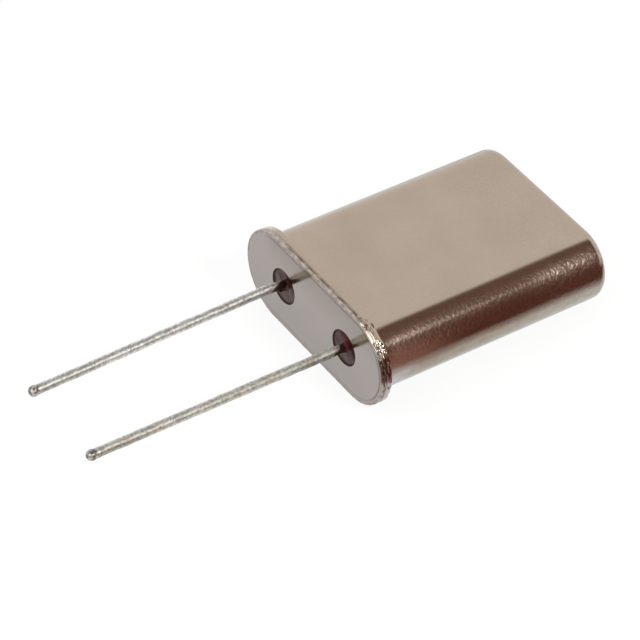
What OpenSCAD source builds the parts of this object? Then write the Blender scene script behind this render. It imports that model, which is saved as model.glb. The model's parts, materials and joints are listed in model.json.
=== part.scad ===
// Two-lead quartz crystal unit in a tall drawn metal can of oval plan.
// It lies on one of its two wide faces. +X runs along the can to its closed end, +Y across
// its width and +Z up through its thickness. The leads point along -X. The origin is on the
// base's outer face, midway between the two leads.

/* [Can] */
// Width of the can across its two round ends
can_width = 10.05; // [9.4:0.05:12]
// Thickness of the can between its two wide faces
can_depth = 3.75; // [3.2:0.05:5]
// Height from the base's outer face to the closed end
can_height = 13.15; // [12.4:0.05:18]
// Thickness of the drawn sheet
can_sheet = 0.3; // [0.15:0.01:0.35]
// Outer radius round the edge of the closed end
end_radius = 0.6; // [0.4:0.05:1.2]
// Outer radius of the bend between the can's wall and its flange
bend_radius = 0.15; // [0.05:0.01:0.2]

/* [Flanges] */
// How far the welded flanges stand out from the can's wall
flange_lip = 0.475; // [0.4:0.005:0.8]
// Radius that rounds the upper edge of the can's flange
can_edge = 0.1; // [0.02:0.01:0.12]
// Radius that rounds the outer edge of the base's face
base_edge = 0.17; // [0.05:0.01:0.19]
// Radius that rounds both flanges along the seam where they meet
seam_edge = 0.05; // [0.02:0.01:0.08]

/* [Base] */
// Thickness of the base's flange
base_sheet = 0.25; // [0.2:0.01:0.5]
// Height of the plug that stands on the base inside the can
plug_height = 0.85; // [0.4:0.05:1.2]
// Gap between the plug and the can's inner wall
plug_gap = 0.1; // [0.05:0.01:0.3]
// Radius that rounds the plug's upper edge
plug_edge = 0.15; // [0.05:0.01:0.3]

/* [Glass seals] */
// Diameter of each glass seal and of its hole in the base
seal_diameter = 1.78; // [1.2:0.02:2]
// How deep the glass lies below the base's outer face
seal_recess = 0.06; // [0.02:0.01:0.15]
// Radius of the glass that creeps out along the lead
seal_creep = 0.24; // [0.1:0.01:0.3]

/* [Leads] */
// Distance between the axes of the two leads
lead_pitch = 4.88; // [4.4:0.02:5.4]
// Diameter of the bare wire
wire_diameter = 0.4; // [0.3:0.01:0.6]
// Thickness of the tin that coats the outer part of the wire
tin_coat = 0.015; // [0.01:0.005:0.05]
// Length of bare wire between the base's outer face and the end of the tin
bare_length = 0.3; // [0.3:0.05:1]
// Length over which the tin thins out towards the bare wire
tin_taper = 0.6; // [0.55:0.05:1.2]
// Length from the base's outer face to the tip
lead_length = 13.5; // [3:0.1:30]
// How much wider than the tinned wire the solder bead on the tip is
bead_swell = 0.06; // [0.02:0.01:0.2]
// Height of the lead's inner end above the plug
post_height = 0.9; // [0.6:0.05:1.4]
// Depth of the flat that is pressed on the inner end for the clip
post_flat = 0.06; // [0.03:0.01:0.12]

/* [Quartz blank] */
// Diameter of the quartz disc
blank_diameter = 8; // [7:0.05:8.4]
// Thickness of the quartz disc
blank_thickness = 0.2; // [0.15:0.01:0.4]
// Gap between the plug and the edge of the disc
blank_lift = 2.3; // [1.8:0.1:2.8]

/* [Electrodes] */
// Diameter of each electrode's round field
electrode_diameter = 4.6; // [3:0.1:6]
// Thickness of the silver film
electrode_film = 0.04; // [0.03:0.01:0.08]
// Width of the tab from the round field to the clip
tab_width = 1; // [0.6:0.1:1.6]

/* [Clips] */
// Width of each spring strip
clip_width = 1.3; // [1:0.05:1.8]
// Thickness of each spring strip
clip_sheet = 0.12; // [0.08:0.01:0.2]
// Gap between the strip's lower end and the plug
clip_lift = 0.2; // [0.1:0.05:0.4]
// Gap round the disc where it passes through the strip's slot
slot_gap = 0.06; // [0.04:0.01:0.1]
// How far the disc's edge stands out of the slot
slot_pass = 0.08; // [0.02:0.01:0.2]
// Length of strip left at each end of the slot
slot_end = 0.6; // [0.3:0.05:0.8]

/* [Cement] */
// Radius of each dab of conductive cement
dab_radius = 0.42; // [0.25:0.01:0.5]

/* [Hidden] */
$fn = 96;

// The oval plan is a straight spine with a half circle round each of its ends
spine = can_width - can_depth;
wall_reach = can_depth / 2;
cavity_reach = wall_reach - can_sheet;
flange_reach = wall_reach + flange_lip;

// Heights above the base's outer face
plug_top = base_sheet + plug_height;
flange_top = base_sheet + can_sheet;
post_top = plug_top + post_height;
clip_foot = plug_top + clip_lift;

// The sheet keeps its thickness round the bend, so both radii share one centre
mouth_radius = bend_radius + can_sheet;
bend_centre = [cavity_reach + mouth_radius, base_sheet + mouth_radius];

wire_radius = wire_diameter / 2;
tin_radius = wire_radius + tin_coat;
bead_radius = tin_radius + bead_swell / 2;
seal_radius = seal_diameter / 2;

blank_radius = blank_diameter / 2;
blank_centre = plug_top + blank_lift + blank_radius;
film_top = blank_thickness / 2 + electrode_film;

// The strip's inner side: on the post's flat, then out to the edge of the disc
post_side = lead_pitch / 2 + wire_radius - post_flat;
grip_side = blank_radius - slot_pass - clip_sheet;
half_chord = sqrt(pow(blank_radius + slot_gap, 2) - pow(grip_side, 2));
knee = blank_centre - half_chord - slot_end;
clip_top = blank_centre + half_chord + slot_end;
slope = atan2(grip_side - post_side, knee - post_top);
mitre = clip_sheet * [-tan(slope / 2), 1];

// Length that makes a cut run clear of the faces it passes through
through = 1;

// Sweeps a half section, drawn as [distance from the spine, height], round the oval
module oval_sweep() {
    rotate([0, 90, 0]) {
        for (turn = [0, 180]) {
            rotate([0, 0, turn])
                translate([0, spine / 2, 0])
                    rotate_extrude(angle = 180)
                        children();
        }
        rotate([90, 0, 0]) {
            linear_extrude(height = spine, center = true) {
                children();
                mirror([1, 0])
                    children();
            }
        }
    }
}

// Half section of a block from the spine outwards, with its upper outer corner rounded
module rounded_top(reach, low, high, edge) {
    translate([0, low])
        square([reach, high - low - edge]);
    translate([0, low])
        square([reach - edge, high - low]);
    translate([reach - edge, high - edge])
        circle(edge);
}

// The same with both outer corners rounded
module rounded_rim(reach, low, high, low_edge, high_edge) {
    intersection() {
        rounded_top(reach, low, high, high_edge);
        translate([0, low + high])
            mirror([0, 1])
                rounded_top(reach, low, high, low_edge);
    }
}

// Half section of a square corner block, hollowed by a circle round the bend's centre
module bend_corner(size, drop, radius) {
    difference() {
        translate(bend_centre - [size, size + drop])
            square([size, size + drop]);
        translate(bend_centre)
            circle(radius);
    }
}

// Puts a piece on the side of lead 1, or turns it over to the side of lead 2
module on_side(number) {
    rotate([number == 1 ? 0 : 180, 0, 0])
        children();
}

// Stands a piece on the axis of its lead, with its height along the can
module on_lead(number) {
    on_side(number)
        translate([0, lead_pitch / 2, 0])
            rotate([0, 90, 0])
                children();
}

module can() {
    color("#b0a28e")
        oval_sweep() {
            difference() {
                union() {
                    rounded_top(wall_reach, base_sheet, can_height, end_radius);
                    rounded_rim(flange_reach, base_sheet, flange_top, seam_edge, can_edge);
                    bend_corner(mouth_radius, 0, bend_radius);
                }
                translate([0, -through])
                    rounded_top(
                        cavity_reach, base_sheet, can_height - can_sheet + through,
                        end_radius - can_sheet
                    );
                bend_corner(mouth_radius, through, mouth_radius);
            }
        }
}

module base() {
    color("#a39c99")
        difference() {
            oval_sweep() {
                rounded_rim(flange_reach, 0, base_sheet, base_edge, seam_edge);
                rounded_top(cavity_reach - plug_gap, 0, plug_top, plug_edge);
            }
            for (number = [1, 2]) {
                on_lead(number)
                    translate([0, 0, -through])
                        cylinder(r = seal_radius, h = plug_top + 2 * through);
            }
        }
}

// Glass that fills its hole, creeps out along the lead and wets the hole's wall
module glass_seal(number) {
    wet = seal_recess;
    color("#3a2a2c")
        on_lead(number)
            rotate_extrude() {
                translate([wire_radius, seal_recess])
                    square([seal_radius - wire_radius, plug_top - seal_recess]);
                difference() {
                    translate([wire_radius, seal_recess - seal_creep])
                        square(seal_creep);
                    translate([wire_radius + seal_creep, seal_recess - seal_creep])
                        circle(seal_creep);
                }
                difference() {
                    translate([seal_radius - wet, seal_recess - wet])
                        square(wet);
                    translate([seal_radius - wet, seal_recess - wet])
                        circle(wet);
                }
            }
}

// Wire with a coat of tin that ends in a bead, and a flat pressed on its inner end
module lead(number) {
    bead_height = bead_radius - lead_length;
    color("#b9b8b0")
        difference() {
            on_lead(number) {
                rotate_extrude()
                    polygon([
                        [0, bead_height],
                        [tin_radius, bead_height],
                        [tin_radius, -bare_length - tin_taper],
                        [wire_radius, -bare_length],
                        [wire_radius, post_top],
                        [0, post_top]
                    ]);
                translate([0, 0, bead_height])
                    sphere(bead_radius);
            }
            on_side(number)
                translate([clip_foot, post_side, -wire_radius])
                    cube([post_height, wire_diameter, wire_diameter]);
        }
}

// Spring strip from the lead's flat out to the disc, which passes through its slot
module clip(number) {
    foot = [clip_foot, post_side];
    bend = [post_top, post_side];
    elbow = [knee, grip_side];
    tip = [clip_top, grip_side];
    across = [0, clip_sheet];
    slot_length = 2 * half_chord;
    slot_height = blank_thickness + 2 * slot_gap;
    color("#c2bba6")
        on_side(number)
            difference() {
                translate([0, 0, -clip_width / 2])
                    linear_extrude(height = clip_width)
                        polygon([
                            foot, bend, elbow, tip,
                            tip + across, elbow + mitre, bend + mitre, foot + across
                        ]);
                translate([blank_centre - slot_length / 2, grip_side - through, -slot_height / 2])
                    cube([slot_length, clip_sheet + 2 * through, slot_height]);
            }
}

module quartz_blank() {
    color("#d9e4e6")
        translate([blank_centre, 0, -blank_thickness / 2])
            cylinder(r = blank_radius, h = blank_thickness);
}

// Round silver film with a tab that runs to the clip of its own side
module electrode(number) {
    color("#d8d8d4")
        on_side(number)
            translate([blank_centre, 0, blank_thickness / 2])
                linear_extrude(height = electrode_film) {
                    circle(electrode_diameter / 2);
                    translate([-tab_width / 2, 0])
                        square([tab_width, grip_side]);
                }
}

// Dab of cement in the corner between the electrode's tab and the strip
module cement(number) {
    color("#8f8d86")
        on_side(number)
            intersection() {
                translate([blank_centre, grip_side, film_top])
                    sphere(dab_radius);
                translate([blank_centre - dab_radius, grip_side - dab_radius, film_top])
                    cube([2 * dab_radius, dab_radius, dab_radius]);
            }
}

can();
base();
glass_seal(1);  // glass_seal_1
glass_seal(2);  // glass_seal_2
lead(1);  // lead_1
lead(2);  // lead_2
clip(1);  // clip_1
clip(2);  // clip_2
quartz_blank();
electrode(1);  // electrode_front
electrode(2);  // electrode_back
cement(1);  // cement_1
cement(2);  // cement_2
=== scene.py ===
# %% [markdown]
# # A quartz crystal unit, lying on its side
#
# The real part is a small sealed can of drawn nickel silver, welded to a flanged base plate.
# Two tinned wires leave the base through beads of dark glass, and a thin quartz disc hangs
# between two spring clips inside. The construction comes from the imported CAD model, which is
# loaded first and never moved. This script gives it a skin: the rim crinkled by the weld, the
# ripples of the dipped tin, and a finish for each metal and for the glass.

import json
import math

import bmesh
import bpy
from mathutils import Matrix, Vector, noise

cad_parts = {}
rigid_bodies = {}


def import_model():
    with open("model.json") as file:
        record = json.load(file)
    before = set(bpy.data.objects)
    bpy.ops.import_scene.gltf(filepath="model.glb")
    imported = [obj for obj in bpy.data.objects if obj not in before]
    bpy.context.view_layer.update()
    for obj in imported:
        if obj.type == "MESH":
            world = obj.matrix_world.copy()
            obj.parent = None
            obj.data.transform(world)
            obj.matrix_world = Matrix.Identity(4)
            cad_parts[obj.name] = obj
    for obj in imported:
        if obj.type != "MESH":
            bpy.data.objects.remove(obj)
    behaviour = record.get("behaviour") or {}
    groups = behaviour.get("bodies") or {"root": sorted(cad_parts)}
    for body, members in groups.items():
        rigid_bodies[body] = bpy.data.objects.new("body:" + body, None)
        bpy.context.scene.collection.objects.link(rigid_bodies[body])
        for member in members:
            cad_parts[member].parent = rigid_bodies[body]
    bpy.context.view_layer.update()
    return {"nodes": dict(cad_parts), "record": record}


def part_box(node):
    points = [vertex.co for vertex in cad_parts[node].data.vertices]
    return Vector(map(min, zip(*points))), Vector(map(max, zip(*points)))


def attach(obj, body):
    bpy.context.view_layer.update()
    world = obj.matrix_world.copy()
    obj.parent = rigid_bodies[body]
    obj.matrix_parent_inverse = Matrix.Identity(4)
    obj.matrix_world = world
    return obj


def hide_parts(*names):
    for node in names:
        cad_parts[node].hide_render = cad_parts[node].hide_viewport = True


for leftover in list(bpy.data.objects):
    bpy.data.objects.remove(leftover)

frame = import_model()
nodes = frame["nodes"]
scene = bpy.context.scene
print("CAD nodes:", ", ".join(sorted(nodes)))

# %% [markdown]
# ## Sizes
#
# Everything is in metres, as the frame is. The large sizes are read from the CAD boxes, so the
# skin fits whatever was packed. The sheet, the bend, the seam and the plug repeat the values of
# the part's source. The other edges are rounded less than there, because an edge is judged by
# the highlight along it, and a pressed edge is crisp. The can's plan is an oval: a straight
# spine with a half circle round each of its ends, so one distance from the spine, called reach
# here, describes every wall.

# %% Measure the oval plan
MM = 0.001

can_low, can_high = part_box("can")
base_low, base_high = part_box("base")
flange_reach = can_high.z
spine_half = round(can_high.y - can_high.z, 5)
closed_end = can_high.x
seam = can_low.x
plug_top = base_high.x

beyond_flange = can_low.x + 2 * MM
wall_reach = max(v.co.z for v in nodes["can"].data.vertices if v.co.x > beyond_flange)

sheet = 0.3 * MM
bend_radius = 0.15 * MM
end_radius = 0.53 * MM
can_edge = 0.075 * MM
seam_edge = 0.05 * MM
base_edge = 0.06 * MM
plug_edge = 0.15 * MM
plug_gap = 0.1 * MM

print(f"flange reach {flange_reach / MM:.3f} mm, wall reach {wall_reach / MM:.3f} mm, "
      f"spine half {spine_half / MM:.3f} mm, closed end at {closed_end / MM:.2f} mm")

# %% [markdown]
# ## Camera
#
# A long lens from about 150 mm away keeps the perspective of a product shot. The camera is
# placed by its compass direction and its height above the part, and then rolled a little.

# %% Place the camera
view_azimuth = math.radians(-36.535)
view_elevation = math.radians(41.829)
view_roll = math.radians(3.496)
look_at = Vector((0.137, -0.331, 0.0)) * MM
camera_distance = 150.28 * MM

back = Vector((
    math.sin(view_azimuth) * math.cos(view_elevation),
    -math.cos(view_azimuth) * math.cos(view_elevation),
    math.sin(view_elevation),
))
level_right = Vector((math.cos(view_azimuth), math.sin(view_azimuth), 0.0))
level_up = back.cross(level_right)
right = math.cos(view_roll) * level_right + math.sin(view_roll) * level_up
up = math.cos(view_roll) * level_up - math.sin(view_roll) * level_right

lens = bpy.data.cameras.new("camera")
lens.sensor_width = 36.0
lens.lens = 186.33
lens.clip_start = 1 * MM
lens.clip_end = 10.0
camera = bpy.data.objects.new("camera", lens)
camera.matrix_world = (
    Matrix.Translation(look_at + back * camera_distance)
    @ Matrix((right, up, back)).transposed().to_4x4()
)
scene.collection.objects.link(camera)
scene.camera = camera
print("camera at", [round(c / MM, 1) for c in camera.matrix_world.translation], "mm")

# %% [markdown]
# ## Two helpers for shaders
#
# Colours are written as sRGB hex values, the way a colour picker shows them, and one function
# turns them to the linear values that the renderer works in. One more function adds a node,
# sets it up and links it, so that a material reads from top to bottom.

# %% Colour and node helpers
def linear(code):
    """The linear RGBA of an sRGB hex colour."""
    channels = [int(code[i:i + 2], 16) / 255 for i in (1, 3, 5)]
    return [c / 12.92 if c <= 0.04045 else ((c + 0.055) / 1.055) ** 2.4 for c in channels] + [1.0]


def add(tree, kind, inputs=None, stops=(), **settings):
    """A new node with its settings, and each input set to a value or linked.

    A link is given as a socket, or as a node, whose first output in use is then meant. Stops
    are the (position, colour) pairs of a colour ramp, from left to right.
    """
    made = tree.nodes.new(kind)
    for name, value in settings.items():
        setattr(made, name, value)
    for socket, value in (inputs or {}).items():
        if isinstance(value, bpy.types.Node):
            value = next(output for output in value.outputs if output.enabled)
        if isinstance(value, bpy.types.NodeSocket):
            tree.links.new(value, made.inputs[socket])
        else:
            made.inputs[socket].default_value = value
    for _ in stops[2:]:
        made.color_ramp.elements.new(1.0)
    for i, (position, colour) in enumerate(stops):
        made.color_ramp.elements[i].position = position
        made.color_ramp.elements[i].color = linear(colour)
    return made


scene.view_settings.view_transform = "Standard"
print("nickel silver in linear light:", [round(c, 3) for c in linear("#B0A28F")])

# %% [markdown]
# ## The studio: tent
#
# Polished metal has hardly any colour of its own. It shows the room, so the room is designed
# first. A white tent surrounds the part. It is the world shader at a strength of 1, under which
# a colour renders about as it is written.

# %% Tent
world = bpy.data.worlds.new("tent")
scene.world = world
world.use_nodes = True
room = world.node_tree
room.nodes.clear()
sky = add(room, "ShaderNodeBackground", {"Color": linear("#FFFFFF"), "Strength": 1.0})
add(room, "ShaderNodeOutputWorld", {"Surface": sky})
print("tent built")

# %% [markdown]
# ## Helpers for finishes and for the studio
#
# A finish often changes from place to place, so a material can ask where on the part it is: its
# object coordinates are metres in the frame. A region is a share that is 1 inside some soft
# edges and 0 outside. It says where a tone, a burn or a painted shade belongs. No real surface is
# even, so patches of a random share mottle it within a region. What belongs to the studio and
# not to the part is drawn as a piece of its own.

# %% Materials
def new_material(name):
    """An empty node material, its tree, and its object coordinates, which are metres in the frame."""
    made = bpy.data.materials.new(name)
    made.use_nodes = True
    made.node_tree.nodes.clear()
    place = add(made.node_tree, "ShaderNodeTexCoord").outputs["Object"]
    return made, made.node_tree, place


print("materials ready")

# %% Regions and patches
def region(tree, curve, *edges):
    """The share inside all the edges: what each runs along, where it starts, where it is whole."""
    share = None
    for along, start, whole in edges:
        edge = add(tree, "ShaderNodeMapRange", {
            "Value": along, "From Min": start, "From Max": whole,
        }, interpolation_type=curve)
        if share is None:
            share = edge
        else:
            share = add(tree, "ShaderNodeMath", {0: share, 1: edge}, operation="MULTIPLY")
    return share


def per_mm(count):
    """A texture scale that gives this many repeats in a millimetre."""
    return count / MM


def patches(tree, place, count, detail, low, high, least=0.0, most=1.0):
    """A share that wavers between two values, in soft patches of this many to a millimetre."""
    waver = add(tree, "ShaderNodeTexNoise", {"Vector": place, "Scale": per_mm(count), "Detail": detail})
    return add(tree, "ShaderNodeMapRange", {
        "Value": waver, "From Min": low, "From Max": high, "To Min": least, "To Max": most,
    })


print("regions ready")

# %% Studio pieces
def stage_piece(name, points, faces, finish):
    """A mesh that belongs to the studio and not to the part."""
    shape = bpy.data.meshes.new(name)
    shape.from_pydata(points, [], faces)
    shape.materials.append(finish)
    made = bpy.data.objects.new(name, shape)
    scene.collection.objects.link(made)
    return made


print("staging ready")

# %% [markdown]
# ## The studio: flag
#
# A rounded metal side shows as round only if it has something dark to reflect. So a large brown
# cloth, called a flag, hangs on the camera's side. It is a piece of a dome, so it can be placed
# by direction: it ends softly behind the part's top edge, at the closed end and left of the
# camera. It is seen in the metal alone, as it is no lamp and the camera looks through it.

# %% Flag cloth
flag_cloth, tree, place = new_material("brown_flag_cloth")
aim = add(tree, "ShaderNodeVectorMath", {0: place}, operation="NORMALIZE")
x, y, z = add(tree, "ShaderNodeSeparateXYZ", {"Vector": aim}).outputs
hung = region(tree, "SMOOTHSTEP", (y, 0.155, -0.02), (x, 0.88, 0.70), (x, -0.40, -0.15))
cloth_tone = add(tree, "ShaderNodeValToRGB", {"Fac": z}, stops=((0.2, "#6F4539"), (0.87, "#80665C")))
cloth = add(tree, "ShaderNodeEmission", {"Color": cloth_tone})
gap = add(tree, "ShaderNodeBsdfTransparent")
soft_cloth = add(tree, "ShaderNodeMixShader", {0: hung, 1: gap, 2: cloth})
add(tree, "ShaderNodeOutputMaterial", {"Surface": soft_cloth})
flag_cloth.cycles.emission_sampling = "NONE"
print("flag cloth made")

# %% Flag
flag_radius = 500 * MM
columns = 48
rows = 18
points = []
for row in range(rows + 1):
    height = math.radians(-1 + 91 * row / rows)
    for column in range(columns + 1):
        turn = math.radians(-200 + 220 * column / columns)
        points.append((
            flag_radius * math.cos(height) * math.cos(turn),
            flag_radius * math.cos(height) * math.sin(turn),
            flag_radius * math.sin(height),
        ))
faces = []
for row in range(rows):
    for column in range(columns):
        corner = row * (columns + 1) + column
        faces.append((corner, corner + 1, corner + columns + 2, corner + columns + 1))
flag = stage_piece("brown_flag", points, faces, flag_cloth)
flag.visible_camera = False
print("flag of", len(faces), "panels")

# %% [markdown]
# ## The studio: lamps
#
# Three round soft lamps stand round the part. The key lamp gives the wires their bright line,
# the can's rounded side its pale streak and the weld its sparkle. A large weak one on the left
# lights the edge of the base. A small one adds a thin light below the streak.

# %% Lamps
def soft_lamp(name, azimuth, elevation, distance, diameter, power):
    """A round lamp that looks at the part: degrees, metres and watts."""
    turn = math.radians(azimuth)
    height = math.radians(elevation)
    towards = Vector((
        math.cos(turn) * math.cos(height), math.sin(turn) * math.cos(height), math.sin(height),
    ))
    bulb = bpy.data.lights.new(name, "AREA")
    bulb.shape = "DISK"
    bulb.size = diameter
    bulb.energy = power
    lamp = bpy.data.objects.new(name, bulb)
    lamp.matrix_world = (
        Matrix.Translation(towards * distance) @ towards.to_track_quat("Z", "Y").to_matrix().to_4x4()
    )
    lamp.visible_camera = False
    scene.collection.objects.link(lamp)
    return lamp


lamp_distance = 350 * MM
key_lamp = soft_lamp("key_lamp", -75.5, 44, lamp_distance, 98 * MM, 0.77)
left_lamp = soft_lamp("left_lamp", -172, 38, lamp_distance, 190 * MM, 0.22)
side_lamp = soft_lamp("side_lamp", -56, 37.5, lamp_distance, 66 * MM, 0.0042)
for lamp in (key_lamp, left_lamp, side_lamp):
    print(lamp.name, "at", [round(c / MM) for c in lamp.location], "mm")

# %% [markdown]
# ## The studio: floor
#
# The floor touches the part where the real one would rest: under the flange's lower edge and
# under the closed end, so it slopes by two degrees. Plain paper lit by the tent is nearly as
# white as the tent. Rays from the camera see it mostly as its own light, so it stays white up to
# the horizon, and the share of plain paper keeps the part's shadow. Where the metal mirrors the
# paper, its light is painted: painted shade makes it a little greyer close to the part, as paper
# in the part's own shade is, and darker behind the closed end, and a painted light makes a pale
# strip beside the can.

# %% Slope of the floor
rest_front = Vector((seam, 0.0, -flange_reach))
rest_back = Vector((closed_end - end_radius, 0.0, -wall_reach))
floor_slope = (rest_back.z - rest_front.z) / (rest_back.x - rest_front.x)


def on_floor(x, y, lift):
    """The point this far above the sloping floor, from millimetres."""
    return (x * MM, y * MM, rest_front.z + (x * MM - rest_front.x) * floor_slope + lift * MM)


print(f"floor slopes {math.degrees(math.atan(floor_slope)):.2f} degrees")

# %% Floor paper: tone
paper, tree, place = new_material("white_paper")
x, y, _ = add(tree, "ShaderNodeSeparateXYZ", {"Vector": place}).outputs
out_of_shade = add(tree, "ShaderNodeMapRange", {
    "Value": y, "From Min": 9 * MM, "From Max": 15 * MM,
}, interpolation_type="SMOOTHSTEP")
before_can = add(tree, "ShaderNodeMapRange", {
    "Value": x, "From Min": -3.2 * MM, "From Max": -5.5 * MM,
}, interpolation_type="SMOOTHSTEP")
beside = region(tree, "SMOOTHSTEP", (y, -3.4 * MM, -4.6 * MM), (x, -0.3 * MM, -1.3 * MM))
ray = add(tree, "ShaderNodeLightPath")
bright = ray.outputs["Is Camera Ray"]
for part in (before_can, beside, out_of_shade):
    bright = add(tree, "ShaderNodeMath", {0: bright, 1: part}, operation="MAXIMUM")
beside_can = add(tree, "ShaderNodeMapRange", {
    "Value": y, "From Min": -7.2 * MM, "From Max": -5.9 * MM,
}, interpolation_type="SMOOTHSTEP")
past_rim = add(tree, "ShaderNodeMapRange", {"Value": x, "From Min": -0.2 * MM, "From Max": 0.8 * MM})
# Painted shade and painted light for reflected rays: grey near the part, a pale strip beside the can,
# darker behind the closed end
painted_pale_strip = add(tree, "ShaderNodeMath", {0: beside_can, 1: past_rim}, operation="MULTIPLY")
painted_far_shade = region(tree, "LINEAR", (x, 6 * MM, 15 * MM), (y, 3 * MM, 6 * MM))
tone = linear("#D9DCE2")
for share, colour in ((painted_pale_strip, "#EFFBFF"), (painted_far_shade, "#CAD4D8"), (bright, "#FFFFFF")):
    tone = add(tree, "ShaderNodeMix", {0: share, 6: tone, 7: linear(colour)}, data_type="RGBA")
print("tone made")

# %% Floor paper: light
glow = add(tree, "ShaderNodeEmission", {"Color": tone})
plain = add(tree, "ShaderNodeBsdfDiffuse", {"Color": linear("#FAFAFA")})
seen = ray.outputs["Is Camera Ray"]
for kind_of_ray in ("Is Glossy Ray", "Is Transmission Ray"):
    seen = add(tree, "ShaderNodeMath", {0: seen, 1: ray.outputs[kind_of_ray]}, operation="MAXIMUM")
share = add(tree, "ShaderNodeMath", {0: seen, 1: 0.88}, operation="MULTIPLY")
surface = add(tree, "ShaderNodeMixShader", {0: share, 1: plain, 2: glow})
add(tree, "ShaderNodeOutputMaterial", {"Surface": surface})
print("paper made")

# %% Floor
corners = [on_floor(x, y, 0) for x, y in ((-700, -700), (700, -700), (700, 700), (-700, 700))]
floor = stage_piece("floor", corners, [(0, 1, 2, 3)], paper)
print("floor laid")

# %% [markdown]
# ## The studio: card
#
# A brown card lies beside the can and stands up behind. It carries the flag's tone down to the
# floor, and its near edge fades softly and a little askew. Only the metal
# shows it.

# %% Card stock
card_stock, tree, place = new_material("brown_card_stock")
x, y, _ = add(tree, "ShaderNodeSeparateXYZ", {"Vector": place}).outputs
slant = add(tree, "ShaderNodeMath", {0: y, 1: 0.5, 2: x}, operation="MULTIPLY_ADD")
darker = add(tree, "ShaderNodeMapRange", {
    "Value": slant, "From Min": -0.5 * MM, "From Max": 3.5 * MM,
}, interpolation_type="SMOOTHSTEP")
card_tone = add(tree, "ShaderNodeMix", {
    0: darker, 6: linear("#AA8279"), 7: linear("#6C4338"),
}, data_type="RGBA")
askew = add(tree, "ShaderNodeMath", {0: x, 1: -0.06, 2: y}, operation="MULTIPLY_ADD")
curl = add(tree, "ShaderNodeMapRange", {"Value": askew, "From Min": -6.8 * MM, "From Max": -9.8 * MM})
stock = add(tree, "ShaderNodeEmission", {"Color": card_tone})
gap = add(tree, "ShaderNodeBsdfTransparent")
soft_card = add(tree, "ShaderNodeMixShader", {0: curl, 1: gap, 2: stock})
add(tree, "ShaderNodeOutputMaterial", {"Surface": soft_card})
card_stock.cycles.emission_sampling = "NONE"
print("card stock made")

# %% Card
card_near = 0.6
card_far = 40
card_points = [
    on_floor(card_near, -6.3, 0.05), on_floor(card_far, -6.3, 0.05),
    on_floor(card_far, -25, 0.05), on_floor(card_near, -25, 0.05),
    on_floor(card_far, -30, 17), on_floor(card_near, -30, 17),
]
card = stage_piece("brown_card", card_points, [(0, 1, 2, 3), (3, 2, 4, 5)], card_stock)
card.visible_camera = False
card.visible_diffuse = False
card.visible_shadow = False
print("card laid")

# %% [markdown]
# ## Finish: drawn nickel silver
#
# Nickel silver is a copper alloy with nickel and zinc, so it is a warm grey. The sheet is drawn
# over a punch and left unpolished. Its flat sides stay smooth. Its rounded ends get a satin skin
# with a fine orange peel, which blurs the room and breaks a lamp's image into sparkles, most of
# all by the closed end, where the sheet was stretched most. The real grain is a few hundredths
# of a millimetre, and is drawn here at about 0.14 mm so that it shows.

# %% Nickel silver: skin
nickel_silver, tree, place = new_material("drawn_nickel_silver")
x, y, z = add(tree, "ShaderNodeSeparateXYZ", {"Vector": place}).outputs
from_middle = add(tree, "ShaderNodeMath", {0: y}, operation="ABSOLUTE")
rounded = add(tree, "ShaderNodeMapRange", {
    "Value": from_middle, "From Min": 3.8 * MM, "From Max": 4.25 * MM, "To Min": 0.12,
}, interpolation_type="SMOOTHSTEP")
stretched = add(tree, "ShaderNodeMapRange", {
    "Value": x, "From Min": 8.6 * MM, "From Max": 10.4 * MM, "To Min": 0.45, "To Max": 0.85,
}, interpolation_type="SMOOTHSTEP")
upper_half = add(tree, "ShaderNodeMapRange", {
    "Value": z, "From Min": 0.3 * MM, "From Max": 0.9 * MM, "To Min": 0.5,
})
depth = rounded
for part in (stretched, upper_half):
    depth = add(tree, "ShaderNodeMath", {0: depth, 1: part}, operation="MULTIPLY")
grain = add(tree, "ShaderNodeTexNoise", {
    "Vector": place, "Scale": per_mm(7), "Detail": 0.0, "Distortion": 0.3,
})
peel = add(tree, "ShaderNodeBump", {"Height": grain, "Strength": depth, "Distance": 0.012 * MM})
by_closed_end = add(tree, "ShaderNodeMapRange", {
    "Value": x, "From Min": 7.5 * MM, "From Max": 10.5 * MM, "To Min": 0.165, "To Max": 0.22,
}, interpolation_type="SMOOTHSTEP")
satin = add(tree, "ShaderNodeMapRange", {
    "Value": rounded, "From Min": 0.12, "To Min": 0.14, "To Max": by_closed_end,
})
print("skin made")

# %% [markdown]
# The colour wavers slowly over the whole can, and with the grain where the skin is rough. A
# band along the rounded side, where the lamp's streak falls, is darkened by painted shade.

# %% Nickel silver: colour
cloud = add(tree, "ShaderNodeTexNoise", {"Vector": place, "Scale": per_mm(0.4), "Detail": 3.0})
tone = add(tree, "ShaderNodeValToRGB", {"Fac": cloud}, stops=((0.3, "#AD9D8D"), (0.7, "#B3A494")))
grain_level = add(tree, "ShaderNodeMapRange", {"Value": grain, "From Min": 0.3, "From Max": 0.7})
grain_tone = add(tree, "ShaderNodeMix", {
    0: grain_level, 6: linear("#9D8D7E"), 7: linear("#C3B6A6"),
}, data_type="RGBA")
grain_share = add(tree, "ShaderNodeMath", {0: depth, 1: 0.8}, operation="MULTIPLY")
skin_tone = add(tree, "ShaderNodeMix", {0: grain_share, 6: tone, 7: grain_tone}, data_type="RGBA")
# Painted shade: a band darker where the lamp's streak falls, which dims the highlight there
painted_dim_band = region(
    tree, "SMOOTHSTEP", (x, 1.8 * MM, 4.0 * MM), (x, 10.2 * MM, 8.8 * MM),
    (z, 1.13 * MM, 1.30 * MM), (z, 1.56 * MM, 1.42 * MM),
)
streak_dimmed_tone = add(tree, "ShaderNodeMix", {
    0: painted_dim_band, 6: skin_tone, 7: linear("#E2DEDA"),
}, data_type="RGBA", blend_type="MULTIPLY")
print("colour made")
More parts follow.
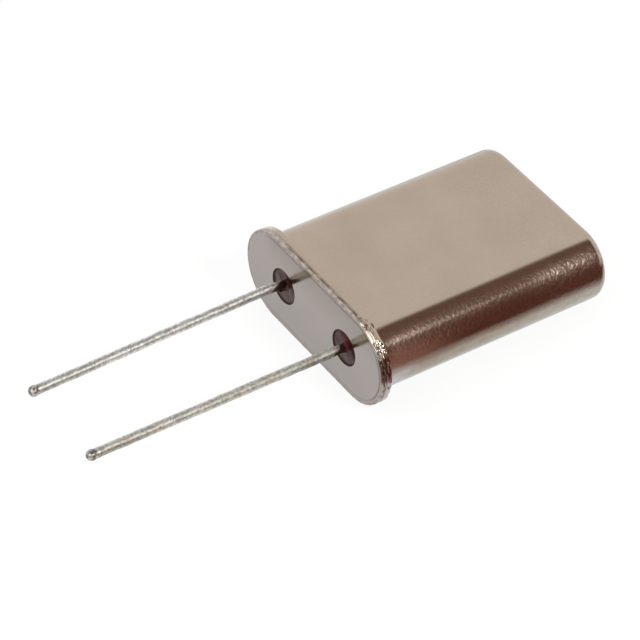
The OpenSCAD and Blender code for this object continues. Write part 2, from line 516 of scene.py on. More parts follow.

# %% [markdown]
# The lower half of the rounded side faces the floor. Its colour is a painted reflection of the
# floor that changes along the can, with soft smudges like finger marks on it.

# %% Nickel silver: underside
# Painted reflection: the lower half facing the floor gets its own tone, changing along the can
painted_floor_side = add(tree, "ShaderNodeMapRange", {
    "Value": z, "From Min": 0.55 * MM, "From Max": 0.05 * MM, "To Max": 0.8,
})
along = add(tree, "ShaderNodeMapRange", {"Value": x, "From Max": 12.5 * MM})
painted_reflection_tone = add(tree, "ShaderNodeValToRGB", {"Fac": along}, stops=(
    (0.10, "#C6BAB6"), (0.19, "#A89685"), (0.56, "#A89685"), (0.80, "#B8A99B"),
))
smudge_share = patches(tree, place, 2.5, 2.0, 0.35, 0.65)
smudged_painted_reflection = add(tree, "ShaderNodeMix", {
    0: smudge_share, 6: painted_reflection_tone, 7: linear("#EBE6E1"),
}, data_type="RGBA", blend_type="MULTIPLY")
tone_with_painted_reflection = add(tree, "ShaderNodeMix", {
    0: painted_floor_side, 6: streak_dimmed_tone, 7: smudged_painted_reflection,
}, data_type="RGBA")
print("underside made")

# %% [markdown]
# Painted shade darkens the far side towards the closed end, and a painted highlight makes the
# flange pale at its far end. At its near end the heat of the weld has browned it, and painted
# shade darkens it there too. The base's rim gets the same scorch and painted shade.

# %% Nickel silver: painted far side, scorch and painted shade
# The weld's heat tint and a painted shade darken the near end of the rim
def scorched_and_painted_shade(tree, y, z, tone, weld, brown):
    """The tone browned by the weld's heat and darkened by painted shade, on the near end of the rim only.
    """
    near_end = add(tree, "ShaderNodeMapRange", {"Value": y, "From Min": -4.2 * MM, "From Max": -4.7 * MM})
    between = region(tree, "SMOOTHSTEP", (z, 1.5 * MM, 1.15 * MM), (z, -0.05 * MM, 0.3 * MM))
    share = weld
    for part in (near_end, between):
        share = add(tree, "ShaderNodeMath", {0: share, 1: part}, operation="MULTIPLY")
    return add(tree, "ShaderNodeMix", {0: share, 6: tone, 7: linear(brown)}, data_type="RGBA")


# Painted shade on the far side towards the closed end, and a painted highlight on the flange's far end
painted_shade_far_side = region(tree, "LINEAR", (y, 4.0 * MM, 4.6 * MM), (x, 3 * MM, 10.5 * MM))
on_flange = add(tree, "ShaderNodeMapRange", {"Value": x, "From Min": 0.62 * MM, "From Max": 0.52 * MM})
painted_light_far_rim = region(tree, "LINEAR", (y, 3.6 * MM, 4.6 * MM), (x, 0.62 * MM, 0.52 * MM))
tone = tone_with_painted_reflection
for share, colour in ((painted_shade_far_side, "#8C7A69"), (painted_light_far_rim, "#D6D3CD")):
    tone = add(tree, "ShaderNodeMix", {0: share, 6: tone, 7: linear(colour)}, data_type="RGBA")
metal = add(tree, "ShaderNodeBsdfPrincipled", {
    "Base Color": scorched_and_painted_shade(tree, y, z, tone, on_flange, "#6C5248"),
    "Metallic": 1.0, "Roughness": satin, "Normal": peel,
})
add(tree, "ShaderNodeOutputMaterial", {"Surface": metal})
print("nickel silver made")

# %% [markdown]
# ## Finish: bright nickel plate
#
# The base is steel with a coat of bright nickel, smoother than the can, so it mirrors the wires
# and the white floor. Painted shade darkens its face towards the upper edge, and the weld burns
# a thin ring into it, which is strongest at the near end.

# %% Base plating: face
wire_pitch_half = (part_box("lead_1")[0].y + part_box("lead_1")[1].y) / 2
hole_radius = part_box("glass_seal_1")[1].z
ring_reach = flange_reach - 0.26 * MM

base_plating, tree, place = new_material("bright_nickel_plate")
x, y, z = add(tree, "ShaderNodeSeparateXYZ", {"Vector": place}).outputs
from_middle = add(tree, "ShaderNodeMath", {0: y}, operation="ABSOLUTE")
past_spine = add(tree, "ShaderNodeMath", {
    0: from_middle, 1: spine_half,
}, operation="SUBTRACT", use_clamp=True)
from_spine = add(tree, "ShaderNodeCombineXYZ", {"X": past_spine, "Y": z})
reach = add(tree, "ShaderNodeVectorMath", {0: from_spine}, operation="LENGTH")
from_ring = add(tree, "ShaderNodeMath", {0: reach, 1: ring_reach}, operation="SUBTRACT")
ring_distance = add(tree, "ShaderNodeMath", {0: from_ring}, operation="ABSOLUTE")
on_ring = add(tree, "ShaderNodeMapRange", {
    "Value": ring_distance, "From Min": 0.09 * MM, "From Max": 0.02 * MM,
}, interpolation_type="SMOOTHSTEP")
upper_edge = add(tree, "ShaderNodeMapRange", {
    "Value": z, "From Min": 1.1 * MM, "From Max": 2.0 * MM, "To Min": 0.35,
})
scorched_end = add(tree, "ShaderNodeMapRange", {"Value": y, "From Min": -4.2 * MM, "From Max": -5.0 * MM})
ring_strength = add(tree, "ShaderNodeMath", {0: scorched_end, 1: upper_edge}, operation="MAXIMUM")
burnt = add(tree, "ShaderNodeMapRange", {"Value": y, "From Min": 4.2 * MM, "From Max": 3.4 * MM})
for part in (ring_strength, on_ring):
    burnt = add(tree, "ShaderNodeMath", {0: burnt, 1: part}, operation="MULTIPLY")
# Painted shade: the face darker towards its upper edge
painted_upper_shade = region(tree, "LINEAR", (z, 0.5 * MM, 1.9 * MM), (y, 4.2 * MM, 3.4 * MM))
cloud = add(tree, "ShaderNodeTexNoise", {"Vector": place, "Scale": per_mm(0.5), "Detail": 2.0})
tone = add(tree, "ShaderNodeValToRGB", {"Fac": cloud}, stops=((0.3, "#B9AFA6"), (0.7, "#BCB2A9")))
for share, colour in ((painted_upper_shade, "#B0A398"), (burnt, "#93857A")):
    tone = add(tree, "ShaderNodeMix", {0: share, 6: tone, 7: linear(colour)}, data_type="RGBA")
print("face made")

# %% [markdown]
# The rim itself is mottled where it melted. Painted shade lies in broken dashes in the groove
# that the electrodes left along it, except at the corner where they pinched it.

# %% Base plating: rim
weld = add(tree, "ShaderNodeMapRange", {
    "Value": reach, "From Min": flange_reach - 0.19 * MM, "From Max": flange_reach - 0.11 * MM,
})
mottle_share = patches(tree, place, 3.5, 1.0, 0.38, 0.62)
weld_tone = add(tree, "ShaderNodeMix", {
    0: mottle_share, 6: linear("#9D9084"), 7: linear("#BDB3A7"),
}, data_type="RGBA")
rim_tone = add(tree, "ShaderNodeMix", {0: weld, 6: tone, 7: weld_tone}, data_type="RGBA")
from_groove = add(tree, "ShaderNodeMath", {0: x, 1: 0.15 * MM}, operation="SUBTRACT")
groove_distance = add(tree, "ShaderNodeMath", {0: from_groove}, operation="ABSOLUTE")
in_groove = add(tree, "ShaderNodeMapRange", {
    "Value": groove_distance, "From Min": 0.08 * MM, "From Max": 0.03 * MM,
}, interpolation_type="SMOOTHSTEP")
dash_share = patches(tree, place, 2.2, 1.0, 0.40, 0.58, least=0.45)
near_half = add(tree, "ShaderNodeMapRange", {
    "Value": y, "From Min": 3.4 * MM, "From Max": 1.8 * MM, "To Min": 0.25,
})
corner_without_shade = add(tree, "ShaderNodeMapRange", {
    "Value": y, "From Min": -4.15 * MM, "From Max": -3.75 * MM, "To Min": 0.15,
})
low_on_rim = add(tree, "ShaderNodeMapRange", {"Value": z, "From Min": 1.3 * MM, "From Max": 0.9 * MM})
off_corner = add(tree, "ShaderNodeMath", {0: corner_without_shade, 1: low_on_rim}, operation="MAXIMUM")
# Painted shade in broken dashes along the groove
painted_groove_shade = in_groove
for part in (dash_share, near_half, off_corner, weld):
    painted_groove_shade = add(tree, "ShaderNodeMath", {0: painted_groove_shade, 1: part}, operation="MULTIPLY")
groove_shaded_tone = add(tree, "ShaderNodeMix", {0: painted_groove_shade, 6: rim_tone, 7: linear("#6B5B4F")}, data_type="RGBA")
edge_tone = scorched_and_painted_shade(tree, y, z, groove_shaded_tone, weld, "#60483F")
print("rim made")

# %% [markdown]
# A thin dark line of oxide surrounds each hole, where the plate was heated to melt the glass.

# %% Base plating: holes and metal
from_wire = add(tree, "ShaderNodeMath", {0: from_middle, 1: wire_pitch_half}, operation="SUBTRACT")
from_hole = add(tree, "ShaderNodeCombineXYZ", {"X": from_wire, "Y": z})
hole_reach = add(tree, "ShaderNodeVectorMath", {0: from_hole}, operation="LENGTH")
oxide = add(tree, "ShaderNodeMapRange", {
    "Value": hole_reach, "From Min": hole_radius + 0.035 * MM, "From Max": hole_radius,
}, interpolation_type="SMOOTHSTEP")
plate_tone = add(tree, "ShaderNodeMix", {0: oxide, 6: edge_tone, 7: linear("#5A4A46")}, data_type="RGBA")
grain = add(tree, "ShaderNodeTexNoise", {"Vector": place, "Scale": per_mm(8), "Detail": 2.0})
fine_waves = add(tree, "ShaderNodeBump", {"Height": grain, "Distance": 0.0008 * MM})
sheen = add(tree, "ShaderNodeMapRange", {"Value": weld, "To Min": 0.14, "To Max": 0.22})
metal = add(tree, "ShaderNodeBsdfPrincipled", {
    "Base Color": plate_tone, "Metallic": 1.0, "Roughness": sheen, "Normal": fine_waves,
})
add(tree, "ShaderNodeOutputMaterial", {"Surface": metal})
print("plating made")

# %% [markdown]
# ## Finish: sealing glass
#
# The glass is melted in the hole and wets both the wire and the rim of the hole. It is nearly
# black with a purple-brown cast and fire-polished, so it mostly shows what it reflects. Above
# the wire and along the hole's wall, where it turns away from the light, a dull wine-red
# painted shade takes the place of its reflection.

# %% Sealing glass: clear part
seal_glass, tree, place = new_material("dark_sealing_glass")
_, y, z = add(tree, "ShaderNodeSeparateXYZ", {"Vector": place}).outputs
second = add(tree, "ShaderNodeMapRange", {"Value": y, "From Min": 1 * MM, "From Max": -1 * MM})
swirl = add(tree, "ShaderNodeTexNoise", {"Vector": place, "Scale": per_mm(1.6), "Detail": 2.0})
purple = add(tree, "ShaderNodeMix", {
    0: second, 6: linear("#3E2A20"), 7: linear("#3A1618"),
}, data_type="RGBA")
swirl_share = add(tree, "ShaderNodeMapRange", {"Value": swirl, "From Min": 0.4, "From Max": 0.6})
glass_tone = add(tree, "ShaderNodeMix", {
    0: swirl_share, 6: linear("#2C1A13"), 7: purple,
}, data_type="RGBA")
glass = add(tree, "ShaderNodeBsdfPrincipled", {
    "Base Color": glass_tone, "Roughness": 0.08, "IOR": 1.42, "Specular Tint": linear("#FFEBDF"),
})
print("clear glass made")

# %% Sealing glass: painted dull shade
side = add(tree, "ShaderNodeMath", {0: y}, operation="SIGN")
off_axis = add(tree, "ShaderNodeMath", {0: side, 1: -wire_pitch_half, 2: y}, operation="MULTIPLY_ADD")
wine = add(tree, "ShaderNodeMix", {
    0: second, 6: linear("#36271F"), 7: linear("#4C1A22"),
}, data_type="RGBA")
shaded = add(tree, "ShaderNodeMapRange", {"Value": off_axis, "From Min": -0.05 * MM, "From Max": -0.4 * MM})
wine_tone = add(tree, "ShaderNodeMix", {0: shaded, 6: wine, 7: linear("#2B1511")}, data_type="RGBA")
across = add(tree, "ShaderNodeCombineXYZ", {"Y": off_axis, "Z": z})
reach = add(tree, "ShaderNodeVectorMath", {0: across}, operation="LENGTH")
at_wall = add(tree, "ShaderNodeMapRange", {
    "Value": reach, "From Min": hole_radius - 0.10 * MM, "From Max": hole_radius - 0.06 * MM,
    "To Max": 0.8,
})
painted_dull_tone = add(tree, "ShaderNodeMix", {
    0: at_wall, 6: wine_tone, 7: linear("#352823"),
}, data_type="RGBA")
painted_dull_glass = add(tree, "ShaderNodeBsdfDiffuse", {"Color": painted_dull_tone})
facing = add(tree, "ShaderNodeMath", {0: off_axis, 1: -0.7, 2: z}, operation="MULTIPLY_ADD")
for part in (swirl, second):
    facing = add(tree, "ShaderNodeMath", {0: part, 1: 0.3 * MM, 2: facing}, operation="MULTIPLY_ADD")
# Painted shade: where the glass turns away, a dull wine-red replaces its reflection
painted_turned_away = add(tree, "ShaderNodeMapRange", {
    "Value": facing, "From Min": 0.55 * MM, "From Max": 0.95 * MM, "To Max": 0.85,
})
painted_dull_share = add(tree, "ShaderNodeMath", {0: painted_turned_away, 1: at_wall}, operation="MAXIMUM")
seal = add(tree, "ShaderNodeMixShader", {0: painted_dull_share, 1: glass, 2: painted_dull_glass})
add(tree, "ShaderNodeOutputMaterial", {"Surface": seal})
print("glass made")

# %% [markdown]
# ## Finish: dipped tin
#
# The wires are dipped in molten tin up to a fraction of a millimetre from the glass. Tin
# freezes with a rippled, slightly dull skin, and it picks up faint straw and grey-green tints.
# A painted light makes the wire's underside and its far flank brighter, and near the ends of
# the wire a painted shade makes the underside grey.

# %% Dipped tin: tints, painted light and painted shade
tinned_wire, tree, place = new_material("dipped_tin_on_wire")
x, y, z = add(tree, "ShaderNodeSeparateXYZ", {"Vector": place}).outputs
second = add(tree, "ShaderNodeMapRange", {"Value": y, "From Min": 1 * MM, "From Max": -1 * MM})
straw = add(tree, "ShaderNodeMix", {
    0: second, 6: linear("#B4B1AE"), 7: linear("#B2A99C"),
}, data_type="RGBA")
tint = patches(tree, place, 1.3, 2.0, 0.35, 0.68)
tin = add(tree, "ShaderNodeMix", {0: tint, 6: linear("#B3B4AE"), 7: straw}, data_type="RGBA")
outwards = add(tree, "ShaderNodeTexCoord").outputs["Normal"]
_, out_y, out_z = add(tree, "ShaderNodeSeparateXYZ", {"Vector": outwards}).outputs
# Painted light: the underside and the far flank brighter
painted_light_underside = add(tree, "ShaderNodeMapRange", {"Value": out_z, "From Min": 0.40, "From Max": -0.10})
painted_light_far_flank = add(tree, "ShaderNodeMapRange", {"Value": out_y, "From Min": -0.05, "From Max": 0.35})
painted_light_share = add(tree, "ShaderNodeMath", {0: painted_light_underside, 1: painted_light_far_flank}, operation="MAXIMUM")
painted_light_tone = add(tree, "ShaderNodeMix", {
    0: second, 6: linear("#ECEAE6"), 7: linear("#DAD7D1"),
}, data_type="RGBA")
tin_with_painted_light = add(tree, "ShaderNodeMix", {0: painted_light_share, 6: tin, 7: painted_light_tone}, data_type="RGBA")
past_middle = add(tree, "ShaderNodeMath", {0: x, 1: 6.5 * MM}, operation="ADD")
to_an_end = add(tree, "ShaderNodeMath", {0: past_middle}, operation="ABSOLUTE")
# Painted shade: the underside grey near the ends of the wire
painted_shade_belly = region(tree, "LINEAR", (to_an_end, 2.8 * MM, 4.5 * MM), (out_z, 0.75, 0.35))
by_root = add(tree, "ShaderNodeMapRange", {
    "Value": x, "From Min": -5 * MM, "From Max": -2.5 * MM, "To Max": second,
})
grey = add(tree, "ShaderNodeMix", {
    0: by_root, 6: linear("#DBDAD7"), 7: linear("#C6C4C0"),
}, data_type="RGBA")
tin_with_painted_shade = add(tree, "ShaderNodeMix", {
    0: painted_shade_belly, 6: tin_with_painted_light, 7: grey,
}, data_type="RGBA", blend_type="MULTIPLY")
print("tints made")

# %% [markdown]
# The skin is pitted all over, which is drawn at about 0.14 mm so that it shows, and the bead on
# the tip has darker and lighter patches.

# %% Dipped tin: pits and bead
pit_share = patches(tree, place, 7, 1.0, 0.55, 0.40, most=0.6)
pitted = add(tree, "ShaderNodeMix", {
    0: pit_share, 6: tin_with_painted_shade, 7: linear("#B8B7B1"),
}, data_type="RGBA", blend_type="MULTIPLY")
tip_share = patches(tree, place, 6, 1.0, 0.38, 0.62)
tip_tone = add(tree, "ShaderNodeMix", {
    0: tip_share, 6: linear("#6B6662"), 7: linear("#BEB9B1"),
}, data_type="RGBA")
at_tip = add(tree, "ShaderNodeMapRange", {"Value": x, "From Min": -12.85 * MM, "From Max": -13.05 * MM})
coat = add(tree, "ShaderNodeMix", {0: at_tip, 6: pitted, 7: tip_tone}, data_type="RGBA")
print("pits made")

# %% [markdown]
# The tin ends in a ragged slant, because the part was held a little askew over the bath. The
# wire that it leaves bare beside the glass is a darker nickel-iron alloy.

# %% Dipped tin: bare wire and metal
side = add(tree, "ShaderNodeMath", {0: y}, operation="SIGN")
off_axis = add(tree, "ShaderNodeMath", {0: side, 1: -wire_pitch_half, 2: y}, operation="MULTIPLY_ADD")
upper = add(tree, "ShaderNodeMath", {0: off_axis, 1: z}, operation="ADD")
slope = add(tree, "ShaderNodeMapRange", {"Value": second, "To Min": -1.4, "To Max": -1.0})
slanted = add(tree, "ShaderNodeMath", {0: upper, 1: slope, 2: x}, operation="MULTIPLY_ADD")
dip_end = add(tree, "ShaderNodeMath", {0: second, 1: -0.3 * MM, 2: slanted}, operation="MULTIPLY_ADD")
edge_noise = add(tree, "ShaderNodeTexNoise", {"Vector": place, "Scale": per_mm(3), "Detail": 1.0})
ragged = add(tree, "ShaderNodeMath", {
    0: edge_noise, 1: 0.4 * MM, 2: dip_end,
}, operation="MULTIPLY_ADD")
bare = add(tree, "ShaderNodeMapRange", {"Value": ragged, "From Min": -0.62 * MM, "From Max": -0.5 * MM})
finish = add(tree, "ShaderNodeMix", {0: bare, 6: coat, 7: linear("#4B392A")}, data_type="RGBA")
by_tip = add(tree, "ShaderNodeMapRange", {
    "Value": x, "From Min": -6 * MM, "From Max": -10 * MM, "To Min": 0.62, "To Max": 0.55,
})
frosted = add(tree, "ShaderNodeMapRange", {"Value": second, "To Min": 0.53, "To Max": by_tip})
dullness = add(tree, "ShaderNodeMapRange", {"Value": at_tip, "To Min": frosted, "To Max": 0.42})
skin = add(tree, "ShaderNodeTexNoise", {
    "Vector": place, "Scale": per_mm(3), "Detail": 3.0, "Roughness": 0.6,
})
ripple = add(tree, "ShaderNodeBump", {"Height": skin, "Distance": 0.025 * MM})
metal = add(tree, "ShaderNodeBsdfPrincipled", {
    "Base Color": finish, "Metallic": 1.0, "Roughness": dullness, "Normal": ripple,
})
add(tree, "ShaderNodeOutputMaterial", {"Surface": metal})
print("tin made")

# %% [markdown]
# ## Shapes: one section swept round the oval
#
# The can and the base are both one section carried round the same oval. CAD keeps them as exact
# solids; here they are swept again as fine meshes, because the weld leaves a crinkled rim that
# smooth solids don't have. The sweep takes a section as (reach, x) points and a function that
# may move each point a little.

# %% Path round the oval
def oval_path(straight_steps, round_steps):
    """Points round the oval as (y of the spine, outward y, outward z)."""
    path = []
    for side in (1, -1):
        for i in range(straight_steps):
            path.append((side * spine_half * (1 - 2 * i / straight_steps), 0.0, side))
        for i in range(round_steps):
            turn = math.pi * i / round_steps
            path.append((-side * spine_half, -side * math.sin(turn), side * math.cos(turn)))
    return path


path = oval_path(150, 180)
print(len(path), "steps round the oval")

# %% Arc, line and sweep
def arc(centre, radius, start, end, steps):
    """Points on an arc of the section, with its angles in degrees from the reach axis towards +X."""
    angles = [math.radians(start + (end - start) * i / steps) for i in range(steps + 1)]
    return [(centre[0] + radius * math.cos(a), centre[1] + radius * math.sin(a)) for a in angles]


def line(start, end, steps):
    """Evenly spaced points between two points of the section, without the two ends."""
    return [
        tuple(a + (b - a) * i / steps for a, b in zip(start, end))
        for i in range(1, steps)
    ]


def sweep(section, path, move):
    """A mesh of the section carried round the path."""
    mesh = bmesh.new()
    rings = []
    for spine_y, out_y, out_z in path:
        rings.append([
            mesh.verts.new(move(Vector((x, spine_y + out_y * reach, out_z * reach))))
            for reach, x in section
        ])
    for ring, following in zip(rings, rings[1:] + rings[:1]):
        for i in range(len(section) - 1):
            mesh.faces.new((ring[i], ring[i + 1], following[i + 1], following[i]))
    bmesh.ops.remove_doubles(mesh, verts=mesh.verts, dist=1e-7)
    return mesh


print("sweep ready")

# %% [markdown]
# ## The weld
#
# Two copper electrodes pinch the two flanges together and a current melts them into one. They
# leave the rim lumpy, most of all at the near end, where it catches the lamp, and they press a
# beaded groove along it. Where the upper near corner starts, the rim is pinched to a crest.
# Every point near the rim moves inwards by a smooth random depth, worked out from its place, so
# the can and the base crinkle alike where they meet.

# %% Lumps and groove
crinkle_depth = 0.075 * MM
groove_depth = 0.035 * MM
groove_x = 0.16 * MM
groove_half = 0.07 * MM
groove_swerve = 0.06 * MM
crest_low_x = 0.22 * MM
crest_high_x = 0.28 * MM
rim_width = 0.4 * MM
rim_start = flange_reach - rim_width


def smooth_step(low, high, value):
    """0 below low, 1 above high, and a smooth rise between them."""
    t = min(max((value - low) / (high - low), 0.0), 1.0)
    return t * t * (3 - 2 * t)


def lumps(point):
    """How deep the melted metal has sunk here, from 0 to about 1."""
    coarse = Vector((point.x / 0.13, point.y / 0.24, point.z / 0.24)) / MM
    fine = Vector((point.x / 0.07, point.y / 0.11, point.z / 0.11)) / MM
    return max(0.0, 0.45 + 0.75 * noise.noise(coarse) + 0.3 * noise.noise(fine))


def groove(point, turn):
    """How deep the groove is here: it is beaded, and swerves to the base round the corner."""
    beads = Vector((0.0, point.y / 0.19, point.z / 0.19)) / MM
    line_x = groove_x - groove_swerve * smooth_step(32, 42, turn) * smooth_step(66, 56, turn)
    return max(0.0, 1 - abs(point.x - line_x) / groove_half) * (0.75 + 0.8 * noise.noise(beads))


print(f"groove {2 * groove_half / MM:.2f} mm wide")

# %% Crinkle
def crinkled(point):
    """The point moved inwards if it lies on the rim. Turn is 0 on top and 90 at the near end."""
    if point.x > seam + sheet + 0.01 * MM:
        return point
    spine_y = min(max(point.y, -spine_half), spine_half)
    outward = Vector((0.0, point.y - spine_y, point.z))
    if outward.length < rim_start:
        return point
    grip = smooth_step(flange_reach - 0.24 * MM, flange_reach - 0.08 * MM, outward.length)
    near_end = smooth_step(2.4 * MM, 3.7 * MM, -point.y) * smooth_step(-1.4 * MM, -0.3 * MM, point.z)
    turn = math.degrees(math.atan2(-outward.y, outward.z))
    pinched = smooth_step(14, 22, turn) * smooth_step(42, 34, turn)
    uneven = (0.16 + 0.84 * near_end) * (1 - 0.6 * pinched)
    pressed = groove(point, turn) * (1 - 0.9 * pinched)
    inwards = (lumps(point) * crinkle_depth * uneven + pressed * groove_depth) * grip
    from_crest = 0.73 * max(0.0, crest_low_x - point.x) + 0.4 * max(0.0, point.x - crest_high_x)
    inwards += pinched * from_crest * min((outward.length - rim_start) / (0.38 * MM), 1.0)
    return point - outward.normalized() * max(0.0, inwards)


print(f"crinkle up to {crinkle_depth / MM:.3f} mm deep")

# %% [markdown]
# ## The can
#
# Its section starts in the middle of the closed end's inner face, runs down inside the wall,
# round the bend to the flange, over the rim and back up outside.

# %% Sweep the can
def dressed(name, mesh, finish, slot, *replaced):
    """A smooth object on the part that stands for these CAD nodes."""
    bmesh.ops.recalc_face_normals(mesh, faces=mesh.faces)
    data = bpy.data.meshes.new(name)
    mesh.to_mesh(data)
    mesh.free()
    data.shade_smooth()
    data.materials.append(finish)
    made = bpy.data.objects.new(name, data)
    scene.collection.objects.link(made)
    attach(made, "root")
    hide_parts(*replaced)
    triangles = sum(len(p.vertices) - 2 for p in data.polygons)
    print(f"{name}: {triangles} triangles")
    return made


end_centre = (wall_reach - end_radius, closed_end - end_radius)
bend_centre = (wall_reach + bend_radius, seam + sheet + bend_radius)
flange_top = seam + sheet

can_section = [(0.0, closed_end - sheet)]
can_section += arc(end_centre, end_radius - sheet, 90, 0, 5)
can_section += arc(bend_centre, bend_radius + sheet, 180, 270, 6)
can_section += arc((flange_reach - seam_edge, seam + seam_edge), seam_edge, 270, 360, 4)
can_section += line(can_section[-1], (flange_reach, flange_top - can_edge), 6)
can_section += arc((flange_reach - can_edge, flange_top - can_edge), can_edge, 0, 90, 6)
can_section += line(can_section[-1], (bend_centre[0], flange_top), 8)
can_section += arc(bend_centre, bend_radius, 270, 180, 8)
can_section += line(can_section[-1], (wall_reach, end_centre[1]), 24)
can_section += arc(end_centre, end_radius, 0, 90, 16)
can_section += line(can_section[-1], (0.0, closed_end), 8)
can_section.append((0.0, closed_end))

can = dressed(
    "drawn_can", sweep(can_section, path, crinkled), nickel_silver, "nickel_silver", "can"
)

# %% [markdown]
# ## The base
#
# The plate's section runs from its flat face over the rim to the plug inside. Its two flat
# faces have a hole for each wire, so they are filled between the sweep's open edges and the
# holes' circles.

# %% Section of the base
hole_centres = []
for number in (1, 2):
    low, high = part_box(f"glass_seal_{number}")
    hole_centres.append((low.y + high.y) / 2)
plug_reach = wall_reach - sheet - plug_gap
plug_inner = plug_reach - plug_edge

base_section = [(rim_start, 0.0)]
base_section += line(base_section[0], (flange_reach - base_edge, 0.0), 5)
base_section += arc((flange_reach - base_edge, base_edge), base_edge, 270, 360, 8)
base_section += line(base_section[-1], (flange_reach, seam - seam_edge), 10)
base_section += arc((flange_reach - seam_edge, seam - seam_edge), seam_edge, 0, 90, 4)
base_section.append((plug_reach, seam))
base_section += arc((plug_inner, plug_top - plug_edge), plug_edge, 0, 90, 4)
base_section.append((plug_inner - 0.05 * MM, plug_top))
print("base section of", len(base_section), "points")

# %% Cut its holes and fill its faces
mesh = sweep(base_section, path, crinkled)
open_edges = [e for e in mesh.edges if e.is_boundary]
circle_steps = 96
for y in hole_centres:
    rings = []
    for x in (0.0, plug_top):
        ring = []
        for i in range(circle_steps):
            turn = 2 * math.pi * i / circle_steps
            ring.append(mesh.verts.new((
                x, y + hole_radius * math.cos(turn), hole_radius * math.sin(turn)
            )))
        rings.append(ring)
        for a, b in zip(ring, ring[1:] + ring[:1]):
            edge = mesh.edges.new((a, b))
            edge.smooth = False
            open_edges.append(edge)
    lower, upper = rings
    for i in range(circle_steps):
        j = (i + 1) % circle_steps
        mesh.faces.new((lower[i], lower[j], upper[j], upper[i]))
for x in (0.0, plug_top):
    loops = [e for e in open_edges if all(abs(v.co.x - x) < 1e-6 for v in e.verts)]
    bmesh.ops.triangle_fill(mesh, edges=loops, use_beauty=True)

base = dressed("base_plate", mesh, base_plating, "base_plating", "base")

# %% [markdown]
# ## The leads
#
# Each wire is turned about its own axis from a row of (x, radius) pairs: the solder bead on the
# tip, the tinned length, the taper where the tin thins out, and the bare wire that runs through
# the glass to the post inside. The tin's ripples are a smooth random change of the radius. The
# tin and the bead are a little thicker than in the solids, as a dip leaves them, and real wires
# are never quite straight, so each one also leans a little.

# %% Sizes of the leads
wire_radius = 0.2 * MM
tin_radius = 0.229 * MM
bead_radius = 0.26 * MM
bare_start = -0.3 * MM
tin_end = bare_start - 0.6 * MM
post_flat_start = plug_top + 0.2 * MM
post_flat = 0.06 * MM
print(f"tinned wire {2 * tin_radius / MM:.3f} mm across")

# %% Turning and leaning
def turned(outline, steps_round, placed):
    """A mesh of rings, one for each (x, radius) pair, whose points a function places."""
    mesh = bmesh.new()
    rings = []
    for x, radius in outline:
        ring = []
        for i in range(steps_round):
            turn = 2 * math.pi * i / steps_round
            out = Vector((0.0, math.cos(turn), math.sin(turn)))
            ring.append(mesh.verts.new(placed(x, radius, out)))
        rings.append(ring)
    for ring, following in zip(rings, rings[1:]):
        for i in range(steps_round):
            j = (i + 1) % steps_round
            mesh.faces.new((ring[i], ring[j], following[j], following[i]))
    return mesh


def lean(number, x):
    """How far the wire stands above its true line here."""
    clear_of_glass = smooth_step(-0.9 * MM, 0.9 * MM, -x)
    if number == 2:
        return 0.023 * MM * clear_of_glass
    return (0.25 * MM + 0.0257 * min(x, 0.0)) * clear_of_glass


print(f"lead 1 stands {lean(1, -1 * MM) / MM:.2f} mm high by the base")

# %% Turn the leads
def lead_mesh(number):
    """The mesh of one lead, rippled where it is tinned and flattened where its clip sits."""
    low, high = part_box(f"lead_{number}")
    axis_y = (low.y + high.y) / 2
    outer_side = math.copysign(1.0, axis_y)
    flat_y = abs(axis_y) + wire_radius - post_flat

    def placed(x, radius, out):
        here = Vector((x, axis_y, lean(number, x))) + out * radius
        if x < tin_end and radius > 0:
            coarse = noise.noise(Vector((x / 0.7, here.y / 0.5, here.z / 0.5)) / MM)
            fine = noise.noise(Vector((x / 0.25, here.y / 0.3, here.z / 0.3)) / MM)
            here += out * (0.012 * coarse + 0.006 * fine) * MM * min(1.0, radius / tin_radius)
        if x > post_flat_start - 1e-6:
            here.y = outer_side * min(abs(here.y), flat_y)
        return here

    bead_x = low.x + bead_radius
    meet = math.degrees(math.asin(tin_radius / bead_radius))
    outline = []
    for i in range(13):
        turn = math.radians((180 - meet) * i / 12)
        outline.append((bead_x - bead_radius * math.cos(turn), bead_radius * math.sin(turn)))
    outline += line((outline[-1][0], tin_radius), (tin_end, tin_radius), 300)
    outline.append((tin_end, tin_radius))
    outline += [(bare_start + 0.1 * MM * i, wire_radius) for i in range(14)]
    outline += [(post_flat_start, wire_radius), (high.x, wire_radius), (high.x, 0.0)]
    mesh = turned(outline, 48, placed)
    bmesh.ops.remove_doubles(mesh, verts=mesh.verts, dist=1e-7)
    return mesh


for number in (1, 2):
    dressed(
        f"tinned_lead_{number}", lead_mesh(number), tinned_wire, "tinned_wire", f"lead_{number}"
    )

# %% [markdown]
# ## The glass seals
#
# Molten glass wets metal. It hollows a little between the rim of its hole and the wire, and
# creeps up the wire, so a turned shape with a curved front face stands for each seal. The curve
# is what gives the dark glass its lights and darks.

# %% Turn the seals
recess = 0.06 * MM
inner_radius = wire_radius - 0.01 * MM


def seal_mesh(number):
    """The mesh of one seal, from the inner end of the glass round to its hollowed front face."""
    low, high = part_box(f"glass_seal_{number}")
    axis_y = (low.y + high.y) / 2

    def placed(x, radius, out):
        here = Vector((x, axis_y, 0.0)) + out * radius
        if radius < hole_radius - 1e-6 and x < recess + 0.01 * MM:
            swell = noise.noise(Vector((number * 3.0, here.y / 0.6 / MM, here.z / 0.6 / MM)))
            here.x += 0.04 * MM * swell * smooth_step(0.0, 0.25 * MM, hole_radius - radius)
        return here

    outline = [(high.x, inner_radius), (high.x, hole_radius)]
    rows = 60
    for i in range(rows + 1):
        share = 1 - (1 - i / rows) ** 1.5
        radius = hole_radius + (inner_radius - hole_radius) * share
        wetting = 0.055 * MM * math.exp(-(hole_radius - radius) / (0.05 * MM))
        creep = 0.2 * MM * math.exp(-(radius - wire_radius) / (0.03 * MM))
        outline.append((recess - wetting - creep, radius))
    return turned(outline, 120, placed)


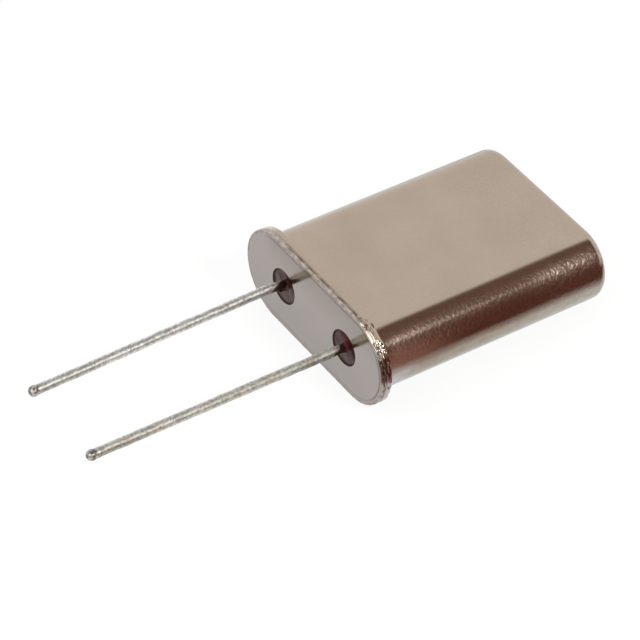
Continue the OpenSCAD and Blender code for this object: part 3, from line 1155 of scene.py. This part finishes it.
for number in (1, 2):
    dressed(
        f"glass_bead_{number}", seal_mesh(number), seal_glass, "seal_glass", f"glass_seal_{number}"
    )

# %% [markdown]
# ## Inside the can
#
# Nothing inside shows while the can is closed, but a maker who opens it should find real
# finishes there too: bright spring strip, finely lapped quartz, satin silver and grey cement.

# %% Inner finishes
def grained_finish(name, grains_per_mm, detail, dark, light, looks):
    """A finish whose colour wavers between two tones, with a grain of this size."""
    made, tree, place = new_material(name)
    grain = add(tree, "ShaderNodeTexNoise", {
        "Vector": place, "Scale": per_mm(grains_per_mm), "Detail": detail,
    })
    tone = add(tree, "ShaderNodeValToRGB", {"Fac": grain}, stops=((0.0, dark), (1.0, light)))
    surface = add(tree, "ShaderNodeBsdfPrincipled", {"Base Color": tone, **looks})
    add(tree, "ShaderNodeOutputMaterial", {"Surface": surface})
    return made


# Rolling leaves strip smooth and bright
spring_nickel = grained_finish("rolled_nickel_strip", 2, 3.0, "#B8AF9C", "#CCC4B2", {
    "Metallic": 1.0, "Roughness": 0.25,
})
# Lapping leaves quartz frosted, so light passes and scatters
quartz = grained_finish("lapped_quartz", 15, 3.0, "#DDE8EA", "#F2F6F6", {
    "Roughness": 0.35, "IOR": 1.54, "Transmission Weight": 0.8,
})
# Silver that settled from vapour is white and satin
silver_film = grained_finish("evaporated_silver", 10, 2.0, "#E0DFDA", "#F0EFEA", {
    "Metallic": 1.0, "Roughness": 0.3,
})
# Silver flakes in a resin make a dull grey paste
silver_cement = grained_finish("silver_filled_cement", 20, 3.0, "#7E7C75", "#A5A39B", {
    "Roughness": 0.7,
})
print("inner finishes made")

# %% Finish the CAD nodes
finishes = {
    "nickel_silver": nickel_silver,
    "base_plating": base_plating,
    "seal_glass": seal_glass,
    "tinned_wire": tinned_wire,
    "spring_nickel": spring_nickel,
    "quartz": quartz,
    "silver_film": silver_film,
    "silver_cement": silver_cement,
}
for subpart in frame["record"]["subparts"]:
    node = nodes[subpart["node"]]
    node.material_slots[0].material = finishes[subpart["material_slot"]]
print(len(nodes), "CAD nodes finished")
